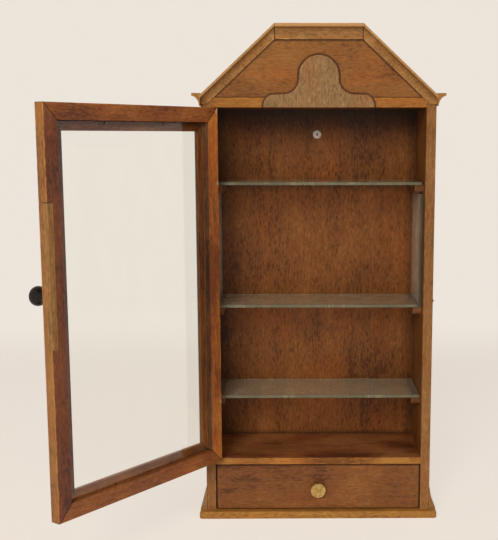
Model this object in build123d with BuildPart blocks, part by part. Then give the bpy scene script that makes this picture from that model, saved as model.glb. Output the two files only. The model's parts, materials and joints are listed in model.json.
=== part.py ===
from build123d import *
import os
from math import cos, radians, sin

os.makedirs("parts", exist_ok=True)

# A small oak display cabinet: +X to the right, +Y to the back, +Z up, millimetres.
# The origin is the middle of the base's underside. Left and right are as seen from the front.

# Carcass
half_width = 113.0
half_opening = 103.4
side_thickness = 9.6
side_depth = 88.5
front_y = -40.5
back_panel_y = front_y + 82.0
back_thickness = 4.0
base_thickness = 7.5
base_nose = 7.5
half_base = 120.0
base_nose_round = 2.4
floor_bottom = 54.7
floor_top = 61.8
rail_bottom = 410.2
rail_top = 419.6
rail_depth = 8.0
ceiling_thickness = 6.5
edge_wear = 0.5

# Roof and pediment
roof_top = 488.0
roof_half_flat = 42.0
roof_slope = 0.9326
roof_drop = 6.5
panel_thickness = 5.0
moulding_height = 14.3
moulding_projection = 8.0
moulding_fillet = 3.4
cornice_top = 423.5
cornice_height = 12.0
rake_end_height = 413.2

# Bell-shaped applique on the pediment
bell_thickness = 4.0
bell_dome_radius = 20.6
bell_dome_height = 440.2
bell_hollow_radius = 13.0
bell_shoulder = 46.5
bell_shoulder_height = 423.6
bell_foot = 54.6
bell_rounding = 1.3

# Flared strips above the base at both sides
flare_top = 29.6
flare_foot = 6.4

# Arched side windows and their panes
window_front = front_y + 30.0
window_back = front_y + 70.0
window_sill = 224.0
window_crown = 318.0
pane_thickness = 3.0
pane_front = front_y + 17.0

# Glass shelves on wooden cleats: height of each shelf's top and half its length
shelves = [(338.4, 101.8), (216.4, 99.6), (123.4, 102.8)]
shelf_thickness = 3.0
shelf_front = front_y + 13.0
cleat_width = 8.0
cleat_height = 8.5
cleat_front = front_y + 16.0
cleat_round = 6.0
cleat_pin_places = [front_y + 32.0, front_y + 68.0]

# Door, built in the open position that it rests in
door_open = 126.9
door_width = 205.2
door_bottom = 62.2
door_top = 409.8
door_thickness = 10.5
frame_back_face = 14.0
frame_front_face = 22.5
lip_thickness = 3.5
glass_thickness = 2.0
door_hinge_edge = -102.7
knob_inset = 7.0
knob_height = 252.5
patch_bottom = 210.0
patch_top = 331.0
patch_width = 6.0
patch_depth = 5.0

# Butt hinges
hinge_x = -104.2
hinge_y = front_y - 0.6
hinge_heights = {"lower": 107.0, "upper": 365.0}
hinge_length = 18.0
knuckle_radius = 1.4
knuckle_gap = 0.15
hinge_pin_radius = 0.6
leaf_thickness = 0.7
leaf_depth = 9.0
leaf_screw_places = [-5.5, 5.5]

# Drawer
drawer_half_width = 102.7
drawer_bottom = 8.0
drawer_top = 54.2
drawer_front_thickness = 8.0
drawer_side_outer = 101.0
drawer_side_thickness = 4.6
drawer_side_bottom = 7.9
drawer_side_top = 46.0
drawer_length = 80.0
drawer_panel_bottom = 11.0
drawer_panel_thickness = 3.0
drawer_knob_height = 28.8
drawer_knob_radius = 7.6

# Fixings
pin_radius = 0.6
pin_head_radius = 1.0
screw_height = 384.7
screw_head_radius = 4.3
screw_radius = 2.0
hanger_thickness = 1.2

front_plane = Plane.XZ.offset(-front_y)
half_depth_pane = back_panel_y - 0.4


def save(piece, name):
    piece.part.label = name
    export_step(piece.part, f"parts/{name}.step")


def roof_line(x):
    """Height of the roof's outer surface at x."""
    return roof_top - roof_slope * max(0.0, abs(x) - roof_half_flat)


def roof_underside(x):
    return roof_line(x) - roof_drop


def block(x0, x1, y0, y1, z0, z1, mode=Mode.ADD):
    """A box between two corners, inside the part being built."""
    with BuildSketch(Plane.XY.offset(z0)) as footprint:
        with Locations(((x0 + x1) / 2, (y0 + y1) / 2)):
            Rectangle(abs(x1 - x0), abs(y1 - y0))
    extrude(footprint.sketch, amount=z1 - z0, mode=mode)


def rod(centre, direction, radius, length, mode=Mode.ADD):
    """A round bar from its first end, along a direction, inside the part being built."""
    with BuildSketch(Plane(origin=centre, z_dir=direction)) as section:
        Circle(radius)
    extrude(section.sketch, amount=length, mode=mode)


def cleat_span(shelf_top):
    """Lowest and highest z of the cleats that carry a shelf."""
    top = shelf_top - shelf_thickness
    return top - cleat_height, top


# Carcass: two sides with arched windows
def side_panel(side):
    inner = side * half_opening
    outer = side * half_width
    arch_radius = (window_back - window_front) / 2
    with BuildPart() as panel:
        with BuildSketch(front_plane):
            with BuildLine():
                Polyline(
                    (outer, base_thickness),
                    (inner, base_thickness),
                    (inner, roof_underside(inner)),
                    (outer, roof_underside(outer)),
                    close=True,
                )
            make_face()
        extrude(amount=-side_depth)
        chamfer(panel.edges().filter_by(Axis.Z).group_by(Axis.Y)[0], edge_wear)
        with BuildSketch(Plane.YZ.offset(side * (half_opening + half_width) / 2)):
            with Locations(((window_front + window_back) / 2, window_crown - arch_radius)):
                Circle(arch_radius)
            with Locations(((window_front + window_back) / 2, window_sill)):
                Rectangle(
                    2 * arch_radius,
                    window_crown - arch_radius - window_sill,
                    align=(Align.CENTER, Align.MIN),
                )
        extrude(amount=side_thickness, both=True, mode=Mode.SUBTRACT)
        for shelf_top, reach in shelves:
            middle = sum(cleat_span(shelf_top)) / 2
            for y in cleat_pin_places:
                rod((inner, y, middle), (side, 0, 0), pin_radius, 5.0, Mode.SUBTRACT)
        if side < 0:
            for height in hinge_heights.values():
                low = height - hinge_length / 2 - 0.2
                high = height + hinge_length / 2 + 0.2
                rod((hinge_x, hinge_y, low), (0, 0, 1), knuckle_radius + 0.3, high - low, Mode.SUBTRACT)
                block(inner - 0.6, inner, front_y, front_y + leaf_depth, low, high, Mode.SUBTRACT)
                for offset in leaf_screw_places:
                    rod(
                        (inner - 0.6, front_y + leaf_depth / 2 + 1.0, height + offset),
                        (-1, 0, 0),
                        pin_radius,
                        5.4,
                        Mode.SUBTRACT,
                    )
        else:
            rod((outer, front_y + 3.0, 222.0), (-1, 0, 0), pin_radius, 5.0, Mode.SUBTRACT)
    return panel


save(side_panel(-1), "left_side")
save(side_panel(1), "right_side")

# Back panel, shaped to the roof and set in between the sides
with BuildPart() as back_panel:
    with BuildSketch(Plane.XZ.offset(-back_panel_y)):
        with BuildLine():
            Polyline(
                (-half_opening, base_thickness),
                (half_opening, base_thickness),
                (half_opening, roof_underside(half_opening)),
                (roof_half_flat, roof_underside(0)),
                (-roof_half_flat, roof_underside(0)),
                (-half_opening, roof_underside(half_opening)),
                close=True,
            )
        make_face()
    extrude(amount=-back_thickness)
    rod((0, back_panel_y, screw_height), (0, 1, 0), screw_radius, back_thickness, Mode.SUBTRACT)
save(back_panel, "back_panel")

# Base board with a rounded nose at the front and both sides
with BuildPart() as base_board:
    block(-half_base, half_base, front_y - base_nose, front_y + side_depth, 0, base_thickness)
    corners = base_board.edges().filter_by(Axis.Z).group_by(Axis.Y)[0]
    fillet(corners, base_nose_round)
    rim = base_board.faces().sort_by(Axis.Z)[-1].edges().filter_by_position(
        Axis.Y, front_y - base_nose - 1, front_y + side_depth - 0.1
    )
    fillet(rim, base_nose_round)
    low_rim = base_board.faces().sort_by(Axis.Z)[0].edges().filter_by_position(
        Axis.Y, front_y - base_nose - 1, front_y + side_depth - 0.1
    )
    chamfer(low_rim, 1.0)
save(base_board, "base_board")


# Flared strips that stand on the base against the sides
def base_flare(side):
    with BuildPart() as flare:
        with BuildSketch(front_plane):
            with BuildLine():
                foot = side * (half_width + flare_foot)
                Polyline(
                    (side * half_width, flare_top),
                    (side * half_width, base_thickness),
                    (foot, base_thickness),
                    (foot, base_thickness + 1.2),
                )
                ThreePointArc(
                    (foot, base_thickness + 1.2),
                    (side * (half_width + 0.40 * flare_foot), 0.5 * (flare_top + base_thickness)),
                    (side * (half_width + 0.4), flare_top),
                )
                Line((side * (half_width + 0.4), flare_top), (side * half_width, flare_top))
            make_face()
        extrude(amount=-side_depth)
    return flare


save(base_flare(-1), "base_flare_left")
save(base_flare(1), "base_flare_right")

# Cabinet floor, which is also the drawer's ceiling
with BuildPart() as floor_board:
    block(-half_opening, half_opening, front_y, back_panel_y, floor_bottom, floor_top)
    chamfer(floor_board.edges().filter_by(Axis.X).group_by(Axis.Y)[0], edge_wear)
save(floor_board, "floor_board")

# Rail over the door opening
with BuildPart() as top_rail:
    block(-half_opening, half_opening, front_y, front_y + rail_depth, rail_bottom, rail_top)
    chamfer(top_rail.edges().filter_by(Axis.X).group_by(Axis.Y)[0], edge_wear)
save(top_rail, "top_rail")

# Ceiling of the shelf space
with BuildPart() as ceiling_board:
    block(
        -half_opening,
        half_opening,
        front_y + rail_depth,
        back_panel_y,
        rail_bottom,
        rail_bottom + ceiling_thickness,
    )
save(ceiling_board, "ceiling_board")

# Roof: one flat board and two sloping ones
with BuildPart() as roof_flat:
    block(
        -roof_half_flat,
        roof_half_flat,
        front_y,
        front_y + side_depth,
        roof_top - roof_drop,
        roof_top,
    )
save(roof_flat, "roof_flat")


def roof_slope_board(side):
    with BuildPart() as board:
        with BuildSketch(front_plane):
            with BuildLine():
                Polyline(
                    (side * roof_half_flat, roof_line(roof_half_flat)),
                    (side * half_width, roof_line(half_width)),
                    (side * half_width, roof_underside(half_width)),
                    (side * roof_half_flat, roof_underside(roof_half_flat)),
                    close=True,
                )
            make_face()
        extrude(amount=-side_depth)
    return board


save(roof_slope_board(-1), "roof_slope_left")
save(roof_slope_board(1), "roof_slope_right")

# Pediment panel between the rail and the roof
with BuildPart() as pediment_panel:
    with BuildSketch(front_plane):
        with BuildLine():
            Polyline(
                (-half_opening, rail_top),
                (half_opening, rail_top),
                (half_opening, roof_underside(half_opening)),
                (roof_half_flat, roof_underside(0)),
                (-roof_half_flat, roof_underside(0)),
                (-half_opening, roof_underside(half_opening)),
                close=True,
            )
        make_face()
    extrude(amount=-panel_thickness)
save(pediment_panel, "pediment_panel")

# Bell-shaped applique in front of the panel and the rail
with BuildPart() as bell_applique:
    with BuildSketch(front_plane):
        with BuildLine():
            hollow_x = bell_dome_radius + bell_hollow_radius
            hollow_z = bell_shoulder_height + 0.6 + bell_hollow_radius
            quarter = bell_hollow_radius * (1 - cos(radians(45)))
            dome_bend = bell_dome_radius * cos(radians(45))
            ThreePointArc(
                (0, bell_dome_height + bell_dome_radius),
                (dome_bend, bell_dome_height + dome_bend),
                (bell_dome_radius, bell_dome_height),
            )
            Line((bell_dome_radius, bell_dome_height), (bell_dome_radius, hollow_z))
            ThreePointArc(
                (bell_dome_radius, hollow_z),
                (bell_dome_radius + quarter, hollow_z - bell_hollow_radius + quarter),
                (hollow_x, hollow_z - bell_hollow_radius),
            )
            Line((hollow_x, hollow_z - bell_hollow_radius), (bell_shoulder, bell_shoulder_height))
            ThreePointArc(
                (bell_shoulder, bell_shoulder_height),
                (bell_shoulder + 6.2, bell_shoulder_height - 5.2),
                (bell_foot, rail_bottom),
            )
            Line((bell_foot, rail_bottom), (0, rail_bottom))
            mirror(about=Plane.YZ)
        make_face()
    extrude(amount=bell_thickness)
    fillet(bell_applique.faces().sort_by(Axis.Y)[0].edges(), bell_rounding)
save(bell_applique, "bell_applique")


# Cavetto mouldings: a fillet above a hollow
def moulding_section(x):
    """Upright section of the pediment moulding at x."""
    top = roof_line(x)
    foot = top - moulding_height
    step = top - moulding_fillet
    nose = front_y - moulding_projection
    with BuildSketch(Plane.YZ.offset(x)) as section:
        with BuildLine():
            Polyline((front_y, top), (nose, top), (nose, step), (nose + 0.9, step))
            ThreePointArc(
                (nose + 0.9, step),
                (nose + 5.0, step - 0.32 * (step - foot)),
                (front_y - 1.1, foot + 1.0),
            )
            Polyline((front_y - 1.1, foot + 1.0), (front_y - 1.1, foot), (front_y, foot), (front_y, top))
        make_face()
    return section.sketch


with BuildPart() as top_moulding:
    extrude(moulding_section(-roof_half_flat), amount=2 * roof_half_flat)
save(top_moulding, "top_moulding")


def rake_moulding(side):
    with BuildPart() as rake:
        loft([moulding_section(side * roof_half_flat), moulding_section(side * half_width)], ruled=True)
        split(bisect_by=Plane.XY.offset(rake_end_height), keep=Keep.TOP)
    return rake


save(rake_moulding(-1), "rake_moulding_left")
save(rake_moulding(1), "rake_moulding_right")


def side_cornice(side):
    """The same moulding, along a side from front to back."""
    wall = side * half_width
    tip = side * (half_width + moulding_projection)
    with BuildPart() as cornice:
        with BuildSketch(Plane.XZ.offset(moulding_projection - front_y)):
            with BuildLine():
                Polyline(
                    (wall, cornice_top),
                    (tip, cornice_top),
                    (tip, cornice_top - 2.6),
                    (tip - side * 0.9, cornice_top - 2.6),
                )
                ThreePointArc(
                    (tip - side * 0.9, cornice_top - 2.6),
                    (tip - side * 5.0, cornice_top - 2.6 - 0.32 * (cornice_height - 2.6)),
                    (wall + side * 0.9, cornice_top - cornice_height + 1.0),
                )
                Polyline(
                    (wall + side * 0.9, cornice_top - cornice_height + 1.0),
                    (wall + side * 0.9, cornice_top - cornice_height),
                    (wall, cornice_top - cornice_height),
                    (wall, cornice_top),
                )
            make_face()
        extrude(amount=-(side_depth + moulding_projection))
    return cornice


save(side_cornice(-1), "side_cornice_left")
save(side_cornice(1), "side_cornice_right")


# Window panes that stand inside, on the cleats of the middle shelf
def window_pane(side):
    pane_bottom = cleat_span(shelves[1][0])[1]
    pane_top = cleat_span(shelves[0][0])[0] - 0.3
    with BuildPart() as pane:
        block(
            side * half_opening,
            side * (half_opening - pane_thickness),
            pane_front,
            half_depth_pane,
            pane_bottom,
            pane_top,
        )
    return pane


save(window_pane(-1), "window_pane_left")
save(window_pane(1), "window_pane_right")


# Cleats with rounded front ends, each held by two pins
def shelf_cleat(side, shelf_top):
    low, high = cleat_span(shelf_top)
    with BuildPart() as cleat:
        block(
            side * half_opening,
            side * (half_opening - cleat_width),
            cleat_front,
            back_panel_y,
            low,
            high,
        )
        toe = cleat.edges().filter_by(Axis.X).group_by(Axis.Y)[0].sort_by(Axis.Z)[0]
        fillet(toe, cleat_round)
        for y in cleat_pin_places:
            rod(
                (side * half_opening, y, (low + high) / 2),
                (-side, 0, 0),
                pin_radius,
                cleat_width,
                Mode.SUBTRACT,
            )
    return cleat


shelf_names = ["upper", "middle", "lower"]
for shelf_name, (shelf_top, reach) in zip(shelf_names, shelves):
    save(shelf_cleat(-1, shelf_top), f"cleat_{shelf_name}_left")
    save(shelf_cleat(1, shelf_top), f"cleat_{shelf_name}_right")

    with BuildPart() as glass_shelf:
        block(-reach, reach, shelf_front, half_depth_pane, shelf_top - shelf_thickness, shelf_top)
        chamfer(glass_shelf.edges().filter_by(Axis.X), 0.3)
    save(glass_shelf, f"glass_shelf_{shelf_name}")

# Pins of all six cleats
with BuildPart() as cleat_pins:
    for side in (-1, 1):
        for shelf_top, reach in shelves:
            middle = sum(cleat_span(shelf_top)) / 2
            for y in cleat_pin_places:
                head_x = side * (half_opening - cleat_width)
                rod((head_x, y, middle), (side, 0, 0), pin_radius, cleat_width + 5.0)
save(cleat_pins, "cleat_pins")

# Small round-headed pin in the right side, where a hook once caught
with BuildPart() as catch_pin:
    rod((half_width, front_y + 3.0, 222.0), (-1, 0, 0), pin_radius, 5.0)
    rod((half_width, front_y + 3.0, 222.0), (1, 0, 0), 1.4, 1.0)
    fillet(catch_pin.faces().sort_by(Axis.X)[-1].edges(), 0.6)
save(catch_pin, "catch_pin")

# Door. Its own frame has x from the hinge edge along the door, y from its front face to its
# back face and z up, and it stands turned open about the hinge axis.
turn = radians(door_open)
along = Vector(cos(turn), -sin(turn), 0)
inward = Vector(sin(turn), cos(turn), 0)
up = Vector(0, 0, 1)
hinge_edge_offset = door_hinge_edge - hinge_x
front_face_offset = front_y - hinge_y
door_corner = Vector(hinge_x, hinge_y, 0) + along * hinge_edge_offset + inward * front_face_offset
door_frame = Plane(origin=door_corner, x_dir=along, z_dir=up)


def door_point(s, d, z):
    return door_corner + along * s + inward * d + up * z


def door_block(s0, s1, d0, d1, z0, z1, mode=Mode.ADD):
    with BuildSketch(door_frame.offset(z0)) as footprint:
        with Locations(((s0 + s1) / 2, (d0 + d1) / 2)):
            Rectangle(abs(s1 - s0), abs(d1 - d0))
    extrude(footprint.sketch, amount=z1 - z0, mode=mode)


glass_back = lip_thickness + glass_thickness
sprig_radius = 0.45
sprig_length = 6.0
sprig_depth = glass_back + sprig_radius
stile_sprigs = [door_bottom + (door_top - door_bottom) * part for part in (0.2, 0.5, 0.8)]
rail_sprigs = [door_width * part for part in (0.33, 0.67)]
mitre_slant = {
    "low_hinge": (Vector(door_point(0, 0, door_bottom)), up - along),
    "low_free": (Vector(door_point(door_width, 0, door_bottom)), up + along),
    "high_hinge": (Vector(door_point(0, 0, door_top)), -up - along),
    "high_free": (Vector(door_point(door_width, 0, door_top)), -up + along),
}


def mitre(corner, keep_stile):
    """Cut the member being built along one 45 degree corner of the door."""
    origin, normal = mitre_slant[corner]
    split(bisect_by=Plane(origin=origin, z_dir=normal), keep=Keep.TOP if keep_stile else Keep.BOTTOM)


def sprig_in_stile(s_edge, direction, z, mode=Mode.ADD):
    start = door_point(s_edge - direction * sprig_length / 2, sprig_depth, z)
    rod(start, along * direction, sprig_radius, sprig_length, mode)


def sprig_in_rail(s, z_edge, direction, mode=Mode.ADD):
    start = door_point(s, sprig_depth, z_edge - direction * sprig_length / 2)
    rod(start, up * direction, sprig_radius, sprig_length, mode)


def knob_axis_plane():
    origin = door_point(door_width - knob_inset, 0, knob_height)
    return Plane(origin=origin, x_dir=along, z_dir=along.cross(-inward))


def door_stile(hinged):
    """Upright of the door: a full-thickness part and a thin lip in front of the glass."""
    if hinged:
        outer, shoulder, lip = 0, frame_back_face, frame_front_face
    else:
        outer = door_width
        shoulder = door_width - frame_back_face
        lip = door_width - frame_front_face
    with BuildPart() as stile:
        door_block(outer, shoulder, 0, door_thickness, door_bottom, door_top)
        door_block(outer, lip, 0, lip_thickness, door_bottom, door_top)
        for corner in ("low_hinge", "high_hinge") if hinged else ("low_free", "high_free"):
            mitre(corner, True)
        for z in stile_sprigs:
            sprig_in_stile(shoulder, 1 if hinged else -1, z, Mode.SUBTRACT)
        if hinged:
            for height in hinge_heights.values():
                low = height - hinge_length / 2 - 0.2
                high = height + hinge_length / 2 + 0.2
                door_block(0, 0.6, 0, leaf_depth, low, high, Mode.SUBTRACT)
                for offset in leaf_screw_places:
                    start = door_point(0.6, leaf_depth / 2 + 1.0, height + offset)
                    rod(start, along, pin_radius, 5.4, Mode.SUBTRACT)
        else:
            door_block(
                door_width - patch_width,
                door_width,
                door_thickness - patch_depth,
                door_thickness,
                patch_bottom,
                patch_top,
                Mode.SUBTRACT,
            )
            rod(door_point(door_width - knob_inset, 0, knob_height), inward, 2.2, 4.6, Mode.SUBTRACT)
    return stile


save(door_stile(True), "door_stile_hinge")
save(door_stile(False), "door_stile_free")


def door_rail(top):
    """Cross piece of the door, the same section as the stiles."""
    if top:
        outer, shoulder, lip = door_top, door_top - frame_back_face, door_top - frame_front_face
    else:
        outer = door_bottom
        shoulder = door_bottom + frame_back_face
        lip = door_bottom + frame_front_face
    with BuildPart() as rail:
        door_block(0, door_width, 0, door_thickness, min(outer, shoulder), max(outer, shoulder))
        door_block(0, door_width, 0, lip_thickness, min(outer, lip), max(outer, lip))
        for corner in ("high_hinge", "high_free") if top else ("low_hinge", "low_free"):
            mitre(corner, False)
        for s in rail_sprigs:
            sprig_in_rail(s, shoulder, -1 if top else 1, Mode.SUBTRACT)
    return rail


save(door_rail(True), "door_rail_top")
save(door_rail(False), "door_rail_bottom")

# Repair strip let into the back edge of the free stile
with BuildPart() as stile_patch:
    door_block(
        door_width - patch_width,
        door_width,
        door_thickness - patch_depth,
        door_thickness,
        patch_bottom,
        patch_top,
    )
save(stile_patch, "stile_patch")

# Door glass in the rebate, and the sprigs that hold it from behind
with BuildPart() as door_glass:
    door_block(
        frame_back_face + 0.5,
        door_width - frame_back_face - 0.5,
        lip_thickness,
        glass_back,
        door_bottom + frame_back_face + 0.5,
        door_top - frame_back_face - 0.5,
    )
save(door_glass, "door_glass")

with BuildPart() as glazing_sprigs:
    for z in stile_sprigs:
        sprig_in_stile(frame_back_face, 1, z)
        sprig_in_stile(door_width - frame_back_face, -1, z)
    for s in rail_sprigs:
        sprig_in_rail(s, door_bottom + frame_back_face, 1)
        sprig_in_rail(s, door_top - frame_back_face, -1)
save(glazing_sprigs, "glazing_sprigs")

# Turned wooden knob on the front of the free stile, with a tenon in the stile
with BuildPart() as door_knob:
    with BuildSketch(knob_axis_plane()):
        with BuildLine():
            Polyline((0, -4.6), (2.2, -4.6), (2.2, 0), (3.4, 0), (3.4, 0.8))
            Spline(
                (3.4, 0.8),
                (2.7, 3.8),
                (3.6, 7.2),
                (6.8, 10.0),
                (8.4, 13.8),
                (7.2, 17.2),
                (3.6, 19.0),
                (0, 19.5),
            )
            Line((0, 19.5), (0, -4.6))
        make_face()
    revolve(axis=Axis(door_point(door_width - knob_inset, 0, knob_height), -inward))
save(door_knob, "door_knob")


# Butt hinges: each has a leaf on the side, a leaf on the door and a pin
def leaf_screw(head_centre, direction, mode=Mode.ADD):
    """Countersunk screw whose head is flush with the leaf."""
    plane = Plane(origin=head_centre, z_dir=direction)
    with BuildSketch(plane) as head:
        Circle(1.3)
    with BuildSketch(plane.offset(leaf_thickness)) as neck:
        Circle(pin_radius)
    loft([head.sketch, neck.sketch], ruled=True, mode=mode)
    rod(head_centre, direction, pin_radius, 6.0, mode)


def side_leaf(height):
    face = -half_opening + 0.1
    segment = (hinge_length - 2 * knuckle_gap) / 3
    low = height - hinge_length / 2
    high = height + hinge_length / 2
    with BuildPart() as leaf:
        block(face - leaf_thickness, face, front_y + 1.3, front_y + leaf_depth, low, high)
        for z in (low, high - segment):
            rod((hinge_x, hinge_y, z), (0, 0, 1), knuckle_radius, segment)
            block(face - leaf_thickness, face, hinge_y, front_y + 1.3, z, z + segment)
        rod((hinge_x, hinge_y, low), (0, 0, 1), hinge_pin_radius, hinge_length, Mode.SUBTRACT)
        for offset in leaf_screw_places:
            centre = (face, front_y + leaf_depth / 2 + 1.0, height + offset)
            leaf_screw(centre, (-1, 0, 0), Mode.SUBTRACT)
    return leaf


def door_leaf(height):
    segment = (hinge_length - 2 * knuckle_gap) / 3
    low = height - hinge_length / 2
    high = height + hinge_length / 2
    middle_low = low + segment + knuckle_gap
    middle_high = high - segment - knuckle_gap
    web = 0.35
    with BuildPart() as leaf:
        door_block(-0.1, leaf_thickness - 0.1, 0.9, leaf_depth, low, high)
        door_block(
            -0.1, leaf_thickness - 0.1, -front_face_offset - web, 0.9, middle_low, middle_high
        )
        door_block(
            -hinge_edge_offset,
            leaf_thickness - 0.1,
            -front_face_offset - web,
            -front_face_offset + web,
            middle_low,
            middle_high,
        )
        rod((hinge_x, hinge_y, middle_low), (0, 0, 1), knuckle_radius, middle_high - middle_low)
        rod(
            (hinge_x, hinge_y, middle_low),
            (0, 0, 1),
            hinge_pin_radius + 0.05,
            middle_high - middle_low,
            Mode.SUBTRACT,
        )
        for offset in leaf_screw_places:
            centre = door_point(-0.1, leaf_depth / 2 + 1.0, height + offset)
            leaf_screw(centre, along, Mode.SUBTRACT)
    return leaf


for hinge_name, height in hinge_heights.items():
    save(side_leaf(height), f"hinge_{hinge_name}_side_leaf")
    save(door_leaf(height), f"hinge_{hinge_name}_door_leaf")

    with BuildPart() as hinge_pin:
        rod((hinge_x, hinge_y, height - hinge_length / 2), (0, 0, 1), hinge_pin_radius, hinge_length)
    save(hinge_pin, f"hinge_{hinge_name}_pin")

with BuildPart() as hinge_screws_side:
    for height in hinge_heights.values():
        for offset in leaf_screw_places:
            centre = (-half_opening + 0.1, front_y + leaf_depth / 2 + 1.0, height + offset)
            leaf_screw(centre, (-1, 0, 0))
save(hinge_screws_side, "hinge_screws_side")

with BuildPart() as hinge_screws_door:
    for height in hinge_heights.values():
        for offset in leaf_screw_places:
            leaf_screw(door_point(-0.1, leaf_depth / 2 + 1.0, height + offset), along)
save(hinge_screws_door, "hinge_screws_door")

# Drawer: front, two sides, back and bottom
drawer_inner = drawer_side_outer - drawer_side_thickness
drawer_box_front = front_y + drawer_front_thickness
drawer_back_y = front_y + drawer_length
drawer_pin_x = drawer_side_outer - drawer_side_thickness / 2
drawer_pin_heights = (21.5, 41.5)

with BuildPart() as drawer_front:
    block(
        -drawer_half_width,
        drawer_half_width,
        front_y,
        front_y + drawer_front_thickness,
        drawer_bottom,
        drawer_top,
    )
    fillet(drawer_front.edges().filter_by(Axis.Y), 1.6)
    fillet(drawer_front.faces().sort_by(Axis.Y)[0].edges(), 0.7)
    rod((0, front_y, drawer_knob_height), (0, 1, 0), 1.5, drawer_front_thickness, Mode.SUBTRACT)
    for side in (-1, 1):
        for z in drawer_pin_heights:
            start = (side * drawer_pin_x, front_y, z)
            rod(start, (0, 1, 0), pin_head_radius, 0.6, Mode.SUBTRACT)
            rod(start, (0, 1, 0), pin_radius, drawer_front_thickness, Mode.SUBTRACT)
save(drawer_front, "drawer_front")


def drawer_side(side):
    with BuildPart() as wall:
        block(
            side * drawer_side_outer,
            side * drawer_inner,
            drawer_box_front,
            drawer_back_y,
            drawer_side_bottom,
            drawer_side_top,
        )
        for z in drawer_pin_heights:
            start = (side * drawer_pin_x, drawer_box_front, z)
            rod(start, (0, 1, 0), pin_radius, 8.0, Mode.SUBTRACT)
    return wall


save(drawer_side(-1), "drawer_side_left")
save(drawer_side(1), "drawer_side_right")

with BuildPart() as drawer_back:
    block(
        -drawer_inner,
        drawer_inner,
        drawer_back_y - drawer_side_thickness,
        drawer_back_y,
        drawer_side_bottom,
        drawer_side_top,
    )
save(drawer_back, "drawer_back")

with BuildPart() as drawer_floor:
    block(
        -drawer_inner,
        drawer_inner,
        drawer_box_front,
        drawer_back_y - drawer_side_thickness,
        drawer_panel_bottom,
        drawer_panel_bottom + drawer_panel_thickness,
    )
save(drawer_floor, "drawer_floor")

with BuildPart() as drawer_pins:
    for side in (-1, 1):
        for z in drawer_pin_heights:
            start = (side * drawer_pin_x, front_y, z)
            rod(start, (0, 1, 0), pin_head_radius, 0.6)
            rod(start, (0, 1, 0), pin_radius, drawer_front_thickness + 8.0)
save(drawer_pins, "drawer_pins")

# Flat brass knob with a threaded stem through the drawer front, and its nut
with BuildPart() as drawer_knob:
    with BuildSketch(Plane(origin=(0, front_y, drawer_knob_height), z_dir=(0, 0, 1))):
        with BuildLine():
            Polyline((0, 11.0), (1.5, 11.0), (1.5, 0), (2.6, 0), (2.6, -3.4), (5.6, -4.2), (7.2, -4.6))
            ThreePointArc((7.2, -4.6), (drawer_knob_radius, -5.2), (7.2, -5.8))
            TangentArc((0, -6.6), (7.2, -5.8), tangent=(1, 0))
            Line((0, -6.6), (0, 11.0))
        make_face()
    revolve(axis=Axis((0, front_y, drawer_knob_height), (0, 1, 0)))
save(drawer_knob, "drawer_knob")

with BuildPart() as drawer_knob_nut:
    with BuildSketch(Plane.XZ.offset(-drawer_box_front)):
        with Locations((0, drawer_knob_height)):
            RegularPolygon(radius=3.2, side_count=6)
            Circle(1.5, mode=Mode.SUBTRACT)
    extrude(amount=-2.4)
save(drawer_knob_nut, "drawer_knob_nut")

# Screw through the back panel, with the hanging plate and nut behind it
with BuildPart() as back_screw:
    with BuildSketch(Plane(origin=(0, back_panel_y, screw_height), z_dir=(0, 0, 1))):
        with BuildLine():
            Polyline((0, 6.4), (screw_radius, 6.4), (screw_radius, 0), (screw_head_radius, 0))
            Line((screw_head_radius, 0), (screw_head_radius, -0.6))
            TangentArc((0, -2.5), (screw_head_radius, -0.6), tangent=(1, 0))
            Line((0, -2.5), (0, 6.4))
        make_face()
    revolve(axis=Axis((0, back_panel_y, screw_height), (0, 1, 0)))
    for width, height in ((4.4, 0.9), (0.9, 4.4)):
        block(
            -width / 2,
            width / 2,
            back_panel_y - 3.0,
            back_panel_y - 1.2,
            screw_height - height / 2,
            screw_height + height / 2,
            Mode.SUBTRACT,
        )
save(back_screw, "back_screw")

hanger_y = back_panel_y + back_thickness
with BuildPart() as hanging_plate:
    with BuildSketch(Plane.XZ.offset(-hanger_y)):
        with Locations((0, screw_height + 9.0)):
            RectangleRounded(16.0, 34.0, 3.0)
        with Locations((0, screw_height)):
            Circle(screw_radius, mode=Mode.SUBTRACT)
        with Locations((0, screw_height + 14.0)):
            Circle(4.5, mode=Mode.SUBTRACT)
        with Locations((0, screw_height + 18.5)):
            SlotCenterToCenter(5.0, 4.2, rotation=90, mode=Mode.SUBTRACT)
    extrude(amount=-hanger_thickness)
save(hanging_plate, "hanging_plate")

with BuildPart() as back_nut:
    with BuildSketch(Plane.XZ.offset(-(hanger_y + hanger_thickness))):
        with Locations((0, screw_height)):
            RegularPolygon(radius=3.6, side_count=6)
            Circle(screw_radius, mode=Mode.SUBTRACT)
    extrude(amount=-1.2)
save(back_nut, "back_nut")
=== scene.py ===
import json
import math

import bmesh
import bpy
from mathutils import Matrix, Vector

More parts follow.
